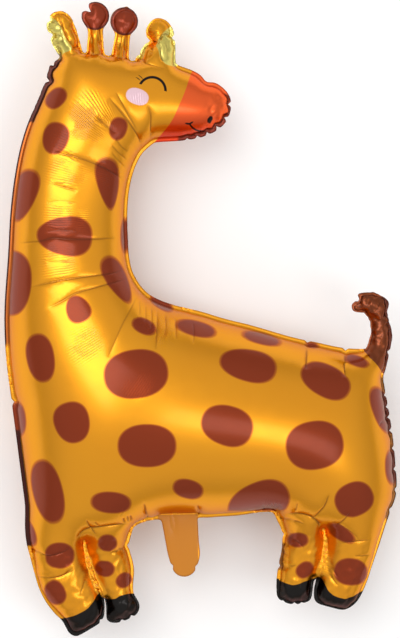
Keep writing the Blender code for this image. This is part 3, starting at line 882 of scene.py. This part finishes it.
def lifted_weld(points, half):
    """The welds between the legs, which the swollen legs on both sides lift together."""
    for line in LEG_WELDS:
        gap = distance_to(points, line, closed=False)
        down = smooth_step((points[:, 1] - line[-1][1]) / WELD_LIFT_RISE)
        beads = 1 + WELD_BEADS * np.sin(points[:, 1] * 2 * math.pi / WELD_BEAD_LENGTH)
        lift = WELD_LIFT * beads * np.exp(-(gap / WELD_LIFT_WIDTH) ** 2) * down
        half = np.hypot(half, lift)
    return half


def smooth_step(value):
    value = np.clip(value, 0, 1)
    return value * value * (3 - 2 * value)


def puckers(along, across, length, draw):
    """Small valleys square to the weld: how deep each point lies in one, in metres."""
    depth = np.zeros(len(along))
    place = 0.0
    while place < length:
        deep = draw.uniform(*PUCKER_DEPTHS)
        width = draw.uniform(*PUCKER_WIDTHS)
        reach = PUCKER_LENGTHS[0] + (PUCKER_LENGTHS[1] - PUCKER_LENGTHS[0]) * draw.random() ** 2
        lean = draw.uniform(-PUCKER_LEAN, PUCKER_LEAN)
        away = along - place - lean * across
        away -= length * np.round(away / length)
        wide = width * (1 + across / PUCKER_SPREAD)
        fade = smooth_step(across / PUCKER_RISE) * np.clip(1 - (across / reach) ** 2, 0, 1) ** 2
        depth += deep * np.exp(-(away / wide) ** 2) * fade
        place += draw.uniform(*PUCKER_GAPS)
    return depth


def along_line(points, line):
    """Signed distance to a line of pixels, and the share of the line's length passed."""
    line = np.array(line, float)
    pieces = sizes(np.diff(line, axis=0))
    passed = passed_along(line)
    best = np.full(len(points), np.inf)
    signed = np.zeros(len(points))
    share = np.zeros(len(points))
    for i, (p, q) in enumerate(zip(line, line[1:])):
        d = q - p
        t = (points - p) @ d / (d @ d)
        if i > 0:
            t = np.maximum(t, 0)
        if i < len(pieces) - 1:
            t = np.minimum(t, 1)
        gap = points - p - t[:, None] * d
        size = sizes(gap)
        side = d[0] * gap[:, 1] - d[1] * gap[:, 0]
        closer = size < best
        best[closer] = size[closer]
        signed[closer] = (size * np.sign(side))[closer]
        share[closer] = ((passed[i] + t * pieces[i]) / passed[-1])[closer]
    return signed, share


def curved(line, steps=8):
    """A smooth open curve through a few pixels."""
    line = np.array(line, float)
    ends = np.vstack([2 * line[0] - line[1], line, 2 * line[-1] - line[-2]])
    found = []
    for before, here, there, after in zip(ends, ends[1:], ends[2:], ends[3:]):
        for t in np.arange(steps) / steps:
            found.append(0.5 * (
                2 * here + (there - before) * t
                + (2 * before - 5 * here + 4 * there - after) * t**2
                + (3 * here - before - 3 * there + after) * t**3
            ))
    found.append(line[-1])
    return np.array(found)


def creases(points, folds):
    """How far the creases push the foil in, in metres, and how strongly painted shade darkens each
    sharp line.
    """
    pushed = np.zeros(len(points))
    crease_shade = np.zeros(len(points))
    for line, depth, left, right, sharp in folds:
        reach = max(left, right) * CREASE_REACH
        low, high = line.min(axis=0) - reach, line.max(axis=0) + reach
        near = ((points > low) & (points < high)).all(axis=1)
        away, share = along_line(points[near], line)
        away = away * MILLIMETRES
        slope = np.abs(away) / np.where(away > 0, left, right)
        ends = np.clip(1 - (2 * np.clip(share, -0.5, 1.5) - 1) ** 4, 0, 1)
        valley = depth * np.exp(-slope) * smooth_step(3 - slope)
        crisp = sharp * np.exp(-(away / SHARP_WIDTH) ** 2) * ends
        pushed[near] += (valley * ends + crisp) / MILLIMETRES
        crease_shade[near] = np.maximum(crease_shade[near], crisp)
    return pushed, crease_shade


def crumple(places, pixels, draw):
    """Sharp small folds on the small shapes, in metres."""
    height = np.max([row[3] * falling(pixels, row) for row in CRUMPLED], axis=0)
    folds = np.zeros(len(places))
    for _ in range(CRUMPLE_FOLDS):
        turn = draw.uniform(0, 2 * math.pi)
        length = draw.uniform(*CRUMPLE_LENGTHS)
        shift = draw.random()
        bend = draw.uniform(*CRUMPLE_BENDS)
        way = np.array([math.cos(turn), math.sin(turn)])
        side = np.array([-way[1], way[0]])
        wave = places[:, :2] @ way / length + shift
        wave = wave + bend * np.sin(places[:, :2] @ side / length * 2)
        folds += np.abs(wave - np.round(wave)) * 4 - 1
    return folds / math.sqrt(CRUMPLE_FOLDS) * height / MILLIMETRES


def spot_field(pixels, spot):
    """How far inside a spot each pixel lies, in pixels."""
    x, y, half_length, half_width, tilt, taper = spot
    turn = math.radians(tilt)
    way = np.array([math.cos(turn), math.sin(turn)])
    side = np.array([-way[1], way[0]])
    a = (pixels - (x, y)) @ way / half_length
    b = (pixels - (x, y)) @ side / (half_width * (1 - taper * np.clip(a, -1, 1)))
    size = (np.abs(a) ** SPOT_SQUARENESS + np.abs(b) ** SPOT_SQUARENESS) ** (1 / SPOT_SQUARENESS)
    return (1 - size) * min(half_length, half_width)


def shape_field(pixels, shape):
    """How far inside a closed shape through these pixels each pixel lies."""
    ring = curved(shape + shape[:1])[:-1]
    gap = distance_to(pixels, ring)
    return np.where(is_inside(pixels, ring), gap, -gap)


def most_inside(fields):
    """The largest of the fields at each point."""
    return np.maximum(np.max(list(fields), axis=0), OUTSIDE)


def discs(pixels, rows):
    """How far inside any of these discs each pixel lies."""
    return most_inside(radius - sizes(pixels - (x, y)) for x, y, radius in rows)


def prints(pixels, points, seam_gap):
    """The fields that the printed areas and the painted shade on the weld are cut from, positive
    inside each.
    """
    column, row = pixels[:, 0], pixels[:, 1]
    from_seam = seam_gap / PIXEL
    spots = most_inside(spot_field(pixels, spot) for spot in SPOTS)
    cut_off = (row < LOWEST_BODY_SPOT + BELLY_ROOM) & (column > BELLY[0]) & (column < BELLY[1])
    spots = np.where(cut_off, np.minimum(spots, LOWEST_BODY_SPOT - row), spots)
    muzzle = -along_line(pixels, curved(MUZZLE_LINE))[0]
    on_muzzle = (column > MUZZLE_LEFT) & (row < MUZZLE_LOW)
    hooves = curved(HOOF_LINE)
    tail = -along_line(pixels, TAIL_LINE)[0]
    tail = np.where(column > TAIL_LEFT, tail, OUTSIDE)
    balls = discs(pixels, HORN_BALLS)
    mane = most_inside(
        np.minimum(np.minimum(row - low, high - row) / MANE_FADE, -edge - from_seam)
        for low, high, edge in MANE_PARTS
    )
    nape = points[:, 0] < NAPE
    brown = np.minimum(row - BROWN_ROWS[0], BROWN_ROWS[1] - row) / BROWN_FADE
    brown = np.where(nape, brown, OUTSIDE)
    # Painted shade on the folded weld, with a few printed mane bits
    shade = discs(pixels, SHADED_WELD_AND_MANE) / SHADE_FADE
    tab = np.minimum(
        (TAB_ROOT[1] - points[:, 1]) / PIXEL,
        (TAB_WIDTH / 2 + TAB_MARGIN - np.abs(points[:, 0] - TAB_ROOT[0])) / PIXEL,
    )
    return {
        "spots": spots,
        "muzzle": np.where(on_muzzle, muzzle, OUTSIDE),
        "hoof": row - np.interp(column, hooves[:, 0], hooves[:, 1]),
        "dark": np.maximum(tail, balls),
        "panel": most_inside(shape_field(pixels, shape) for shape in EAR_PANELS),
        "mane": np.where(nape, mane, OUTSIDE),
        "tab": tab,
        "cheek": spot_field(pixels, CHEEK),
        "nostril": spot_field(pixels, NOSTRIL),
        "balls": balls,
        "brown": np.minimum(brown, BROWN_RIM - from_seam),
        "shade": np.minimum(shade, SHADE_RIM - from_seam),
    }


def evened(values, triangles, passes):
    """The values with each point drawn to the mean of its neighbours, so many times over."""
    here = triangles.ravel()
    neighbours = np.bincount(here, minlength=len(values)) * 2
    for _ in range(passes):
        around = values[triangles]
        around = around.sum(axis=1)[:, None] - around
        mean = np.bincount(here, around.ravel(), len(values)) / np.maximum(neighbours, 1)
        values = np.where(neighbours > 0, (values + mean) / 2, values)
    return values


def ripple_fields(pixels, triangles):
    """How far along the swollen tube each point lies, and how strongly it ripples there."""
    path = curved(RIPPLE_PATH)
    share = evened(along_line(pixels, path)[1], triangles, RIPPLE_EVENING)
    length = sizes(np.diff(path, axis=0)).sum()
    strength = [row[3] * falling(pixels, row, RIPPLE_STEEP) for row in RIPPLES]
    return share * length, np.max(strength, axis=0)


def swelling(plan):
    """Half the swollen thickness at each point, in metres."""
    points = plan["points"]
    free = np.ones(len(points))
    free[:plan["weld"][1]] = 0
    field = pressure_field(points, plan["swollen"], free)
    half = np.sqrt(2 * np.maximum(field, 0))
    half *= (CAD_BOX[1].z - SEAM - FOIL_THICKNESS / 2) / half.max()
    _, slack = small_shape(points)
    half = half * (1 - slack) + np.minimum(half, half**2 / SMALL_SWELL) * slack
    return lifted_weld(points, half)


def place_on_weld(plan):
    """How far along the weld each point lies, its distance to it, and how it puckers there."""
    points = plan["points"]
    first, last = plan["weld"]
    ring = points[first:last]
    steps = sizes(np.roll(ring, -1, axis=0) - ring)
    passed = np.concatenate([[0], np.cumsum(steps)[:-1]])
    nearest = np.array([number for _, number, _ in nearest_marks(ring, points)])
    low, high = plan["rings"]
    nearest[low:high] = np.tile(np.arange(last - first), BAND_RINGS + 1)
    flat_gap = sizes(points - ring[nearest])
    pixels = to_pixels(on_seam_plane(ring))
    strength = np.max([row[3] * falling(pixels, row) for row in PUCKERED], axis=0)
    strength = np.maximum(strength, PUCKER_LEAST)
    return passed[nearest], flat_gap, strength[nearest], steps.sum()


def envelope():
    """Both sheets of the balloon with all their folds, as one closed mesh with its fields."""
    draw = np.random.default_rng(SEED)
    outline = smooth_ring(front_outline()[:, :2], OUTLINE_STEP)
    outline = even_ring(pulled_in(outline), OUTLINE_STEP)
    folds = fold_lines()
    plan = plan_mesh(outline, folds)
    points = plan["points"]
    count = len(points)
    half = swelling(plan)
    triangles = np.vstack([plan["flange"], plan["swollen"]])
    is_flange = np.arange(count) < plan["weld"][0]

    along, flat_gap, strength, length = place_on_weld(plan)
    across = np.hypot(flat_gap, half)
    dips = puckers(along, across, length, draw) * strength
    waves = puckers(along, np.full(count, PUCKER_RISE), length, np.random.default_rng(SEED))
    tab_way = np.clip((TAB_ROOT[1] - points[:, 1]) / TAB_CALMING, 0, 1)
    tab_way *= np.abs(points[:, 0] - TAB_ROOT[0]) < TAB_WIDTH / 2 + TAB_MARGIN
    on_flange = SWAY_LEAST + (1 - SWAY_LEAST) * np.clip(flat_gap / FLANGE_WIDTH, 0, 1)
    sway = np.where(is_flange, on_flange, SWAY_LEAST * np.exp(-across / SWAY_FADE)) * (1 - tab_way)
    sway = sway * (waves - waves.mean()) / PUCKER_DEPTHS[1] * RUFFLE * strength

    flat = on_seam_plane(points)
    front = flat + np.outer(half + FOIL_THICKNESS / 2, (0, 0, 1))
    normals = normals_of(front, triangles)
    pixels = to_pixels(front)
    pressed, crease_shade = creases(points, folds)
    pushed = dips + pressed * (~is_flange)
    lifted = crumple(front, pixels, draw)
    lifted = np.where(is_flange, lifted * CRUMPLE_ON_WELD, lifted)
    sheets = []
    for side in (1, -1):
        place = flat + np.outer(half + FOIL_THICKNESS / 2, (0, 0, side))
        way = normals * (1, 1, side)
        move = -pushed[:, None] * way
        move += np.where(is_flange[:, None], np.outer(lifted, (0, 0, 1)), way * lifted[:, None])
        sheets.append(place + move + np.outer(sway, (0, 0, 1)))
    sheets[1][:, 2] = np.maximum(sheets[1][:, 2], 0)
    sheets[0][:, 2] = np.minimum(sheets[0][:, 2], CAD_BOX[1].z)

    mesh = joined_sheets(sheets, triangles.tolist(), plan["outline"])
    fields = prints(pixels, points, np.where(is_flange, -flat_gap, flat_gap))
    fields["ripple_place"], fields["ripple"] = ripple_fields(pixels, triangles)
    fields["pixel_x"], fields["pixel_y"] = pixels[:, 0], pixels[:, 1]
    fields["ribs"] = strength * np.exp(-across / RIB_FADE) * (~is_flange)
    fields["along"] = along / RIB_LENGTH
    # Painted shade along the sharp lines of the creases
    fields["line"] = crease_shade * (~is_flange)
    for name, values in fields.items():
        layer = mesh.attributes.new(name, "FLOAT", "POINT")
        layer.data.foreach_set("value", np.tile(values, 2).astype(np.float32))
    return mesh


def joined_sheets(sheets, triangles, rim):
    """The front and back sheets as one mesh, closed round their first points, the rim."""
    count = len(sheets[0])
    faces = [tuple(face) for face in triangles]
    faces += [(c + count, b + count, a + count) for a, b, c in triangles]
    for a in range(rim):
        b = (a + 1) % rim
        faces.append((b, a, a + count, b + count))
    mesh = bpy.data.meshes.new("giraffe_foil_envelope")
    mesh.from_pydata(np.vstack(sheets).tolist(), [], faces)
    mesh.shade_smooth()
    return mesh


class Nodes:
    """Short ways to add nodes to a material or to the world."""

    def __init__(self, owner):
        owner.use_nodes = True
        self.owner = owner
        self.tree = owner.node_tree

    def fill(self, node, inputs):
        """Sets this node's inputs to plain values, or links them to other nodes' outputs."""
        for name, value in inputs.items():
            if isinstance(value, bpy.types.NodeSocket):
                self.tree.links.new(value, node.inputs[name])
            else:
                node.inputs[name].default_value = value

    def add(self, kind, inputs, **settings):
        """The outputs of a new node."""
        node = self.tree.nodes.new("ShaderNode" + kind)
        for name, value in settings.items():
            setattr(node, name, value)
        self.fill(node, inputs)
        return node.outputs

    def field(self, name):
        return self.add("Attribute", {}, attribute_name=name)["Fac"]

    def sum(self, operation, *values):
        return self.add("Math", dict(enumerate(values)), operation=operation)[0]

    def times(self, first, second):
        return self.sum("MULTIPLY", first, second)

    def within(self, value, soft):
        """0 outside and 1 inside, with a soft edge this wide."""
        inputs = {"Value": value, "From Min": -soft, "From Max": soft}
        return self.add("MapRange", inputs, interpolation_type="SMOOTHSTEP")["Result"]

    def above(self, value, limit, soft):
        """0 below the limit and 1 above it, with a soft edge this wide."""
        return self.within(self.sum("SUBTRACT", value, limit), soft)

    def mixed(self, share, first, second):
        """The first colour where the share is 0, and the second where it is 1."""
        inputs = {"Factor": share, **dict(zip(MIX_COLOURS, (first, second)))}
        return self.add("Mix", inputs, data_type="RGBA")[MIXED_COLOUR]

    def between(self, share, first, second):
        """The first number where the share is 0, and the second where it is 1."""
        inputs = {"Factor": share, **dict(zip(MIX_NUMBERS, (first, second)))}
        return self.add("Mix", inputs)[0]

    def noise(self, scale):
        place = self.add("TexCoord", {})["Object"]
        return self.add("TexNoise", {"Scale": scale, "Vector": place})["Fac"]


def circle_through(points):
    """The middle and the radius of the circle through three points."""
    first, *others = np.array(points)
    ways = np.array(others) - first
    middle = first + np.linalg.solve(2 * ways, (ways**2).sum(axis=1))
    return *middle, math.dist(middle, first)


def stroke_share(nodes, stroke):
    """1 on a thin printed arc: near its circle and on the right side of its chord."""
    start, middle, end, width = stroke
    x, y, radius = circle_through(stroke[:3])
    across = nodes.sum("SUBTRACT", nodes.field("pixel_x"), x)
    down = nodes.sum("SUBTRACT", nodes.field("pixel_y"), y)
    squares = nodes.sum("ADD", nodes.times(across, across), nodes.times(down, down))
    off = nodes.sum("ABSOLUTE", nodes.sum("SUBTRACT", nodes.sum("SQRT", squares), radius))
    on_arc = nodes.within(nodes.sum("SUBTRACT", width / 2, off), STROKE_SOFT)
    side = Vector((start[1] - end[1], end[0] - start[0])).normalized()
    if side.dot(Vector(middle) - Vector(start)) < 0:
        side = -side
    past = nodes.sum("ADD", nodes.times(across, side.x), nodes.times(down, side.y))
    limit = side.dot(Vector(start) - Vector((x, y)))
    return nodes.times(on_arc, nodes.above(past, limit, STROKE_SOFT))


def printed_colour(nodes, area, inner):
    """Gold foil with every printed area on it, painted shade on the folded weld, and painted shade
    in lines along the creases.
    """
    rim = nodes.above(nodes.field("spots"), SPOT_RIM[0], SPOT_SOFT)
    snout = nodes.above(nodes.field("pixel_y"), SNOUT_ROW, SNOUT_SOFT)
    ball_middle = nodes.above(nodes.field("balls"), BALL_RIM, BALL_SOFT)
    ink = area["nostril"]
    for stroke in STROKES:
        ink = nodes.sum("MAXIMUM", ink, stroke_share(nodes, stroke))
    colour = nodes.mixed(nodes.noise(GOLD_NOISE), GOLD_DEEP, GOLD)
    for share, printed in (
        (rim, SPOT_EDGE),
        (inner, SPOT_COLOUR),
        (area["muzzle"], nodes.mixed(snout, MUZZLE_COLOUR, MUZZLE_DEEP)),
        (area["panel"], PANEL_COLOUR),
        (area["dark"], TAIL_COLOUR),
        (area["balls"], nodes.mixed(ball_middle, BALL_EDGE, BALL_COLOUR)),
        (area["brown"], BROWN_COLOUR),
        (area["mane"], MANE_COLOUR),
        # Painted shade on the folded weld
        (nodes.times(area["shade"], SHADE_SHARE), SHADE_COLOUR),
        (area["cheek"], CHEEK_COLOUR),
        (area["tab"], TAB_COLOUR),
        (area["hoof"], HOOF_COLOUR),
        (ink, INK),
        # Painted shade along the creases
        (nodes.times(nodes.field("line"), CREASE_SHADE_SHARE), CREASE_SHADE_COLOUR),
    ):
        colour = nodes.mixed(share, colour, printed)
    return colour


def fine_relief(nodes):
    """The height of the ripples across the swollen tube and of the ribs along the welds."""
    wander = nodes.times(nodes.noise(RIPPLE_NOISE), RIPPLE_WANDER)
    turn = nodes.times(nodes.field("ripple_place"), 2 * math.pi / RIPPLE_LENGTH)
    wave = nodes.sum("SINE", nodes.sum("ADD", turn, wander))
    patches = nodes.above(nodes.noise(PATCH_NOISE), PATCH_LIMIT, PATCH_SOFT)
    wave = nodes.times(wave, nodes.times(nodes.field("ripple"), patches))
    turn = nodes.times(nodes.field("along"), 2 * math.pi)
    wander = nodes.times(nodes.noise(FINE_NOISE), RIB_WANDER)
    ribs = nodes.times(nodes.sum("SINE", nodes.sum("ADD", turn, wander)), nodes.field("ribs"))
    return nodes.sum("ADD", wave, ribs)


def foil_material():
    nodes = Nodes(bpy.data.materials.new("printed_foil"))
    area = {name: nodes.within(nodes.field(name), PRINT_SOFT) for name in PRINT_AND_SHADE_AREAS}
    inner = nodes.above(nodes.field("spots"), SPOT_RIM[1], SPOT_SOFT)
    metal = 1.0
    for share, metallic in (
        (area["tab"], TAB_METALLIC),
        (area["cheek"], CHEEK_METALLIC),
        (inner, SPOT_METALLIC),
        (area["balls"], BALL_METALLIC),
    ):
        metal = nodes.between(share, metal, metallic)
    rough = nodes.between(nodes.noise(FINE_NOISE), *FOIL_ROUGHNESS)
    rough = nodes.between(area["tab"], rough, TAB_ROUGHNESS)
    rough = nodes.between(area["hoof"], rough, HOOF_ROUGHNESS)
    bump = {"Strength": 1.0, "Distance": RELIEF_HEIGHT, "Height": fine_relief(nodes)}
    nodes.fill(nodes.tree.nodes["Principled BSDF"], {
        "Base Color": printed_colour(nodes, area, inner),
        "Metallic": metal,
        "Roughness": rough,
        "Normal": nodes.add("Bump", bump)["Normal"],
        **FOIL_GLOSS,
    })
    return nodes.owner


def added(name, data):
    """A new object with this data, in the scene."""
    thing = bpy.data.objects.new(name, data)
    bpy.context.scene.collection.objects.link(thing)
    return thing


def make_floor():
    nodes = Nodes(bpy.data.materials.new("floor"))
    paint = {"Base Color": FLOOR_COLOUR, "Roughness": FLOOR_ROUGHNESS}
    nodes.fill(nodes.tree.nodes["Principled BSDF"], paint)
    mesh = bpy.data.meshes.new("floor")
    corners = [(x * FLOOR_HALF, y * FLOOR_HALF, 0) for x, y in ((-1, -1), (1, -1), (1, 1), (-1, 1))]
    mesh.from_pydata(corners, [], [(0, 1, 2, 3)])
    mesh.materials.append(nodes.owner)
    floor = added("floor", mesh)
    floor.location.z = -FLOOR_DROP


def make_lamp(name, place, size, power):
    data = bpy.data.lights.new(name, "AREA")
    data.shape = "RECTANGLE"
    data.size, data.size_y = size
    data.energy = power
    lamp = added(name, data)
    lamp.location = place
    lamp.rotation_euler = (Vector(LIT_POINT) - Vector(place)).to_track_quat("-Z", "Y").to_euler()


def make_lights():
    """Two soft lamps, and a sky that is brighter overhead than at the horizon."""
    nodes = Nodes(bpy.data.worlds.new("studio"))
    place = nodes.add("TexCoord", {})["Generated"]
    height = nodes.add("SeparateXYZ", {0: place})["Z"]
    ramp = {"Value": height, "From Max": SKY_RISE, "To Min": SKY_LOW, "To Max": SKY_HIGH}
    sky = {"Color": (1, 1, 1, 1), "Strength": nodes.add("MapRange", ramp)["Result"]}
    nodes.fill(nodes.tree.nodes["Background"], sky)
    bpy.context.scene.world = nodes.owner
    for lamp in LAMPS:
        make_lamp(*lamp)
    bpy.context.scene.view_settings.view_transform = "Standard"


def make_camera():
    right, up, back, place = camera_axes()
    data = bpy.data.cameras.new("photo_view")
    data.sensor_width = SENSOR
    data.lens = SENSOR * CAMERA_DISTANCE / PIXEL / PHOTO_HEIGHT
    camera = added("photo_view", data)
    camera.location = place
    camera.rotation_euler = Matrix((right, up, back)).transposed().to_euler()
    bpy.context.scene.camera = camera


SEAM = float(front_outline()[:, 2].mean()) - HALF_FLANGE
make_camera()
make_floor()
make_lights()
body = added("giraffe_foil_envelope", envelope())
body.data.materials.append(foil_material())
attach(body, "root")
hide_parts("foil_envelope")
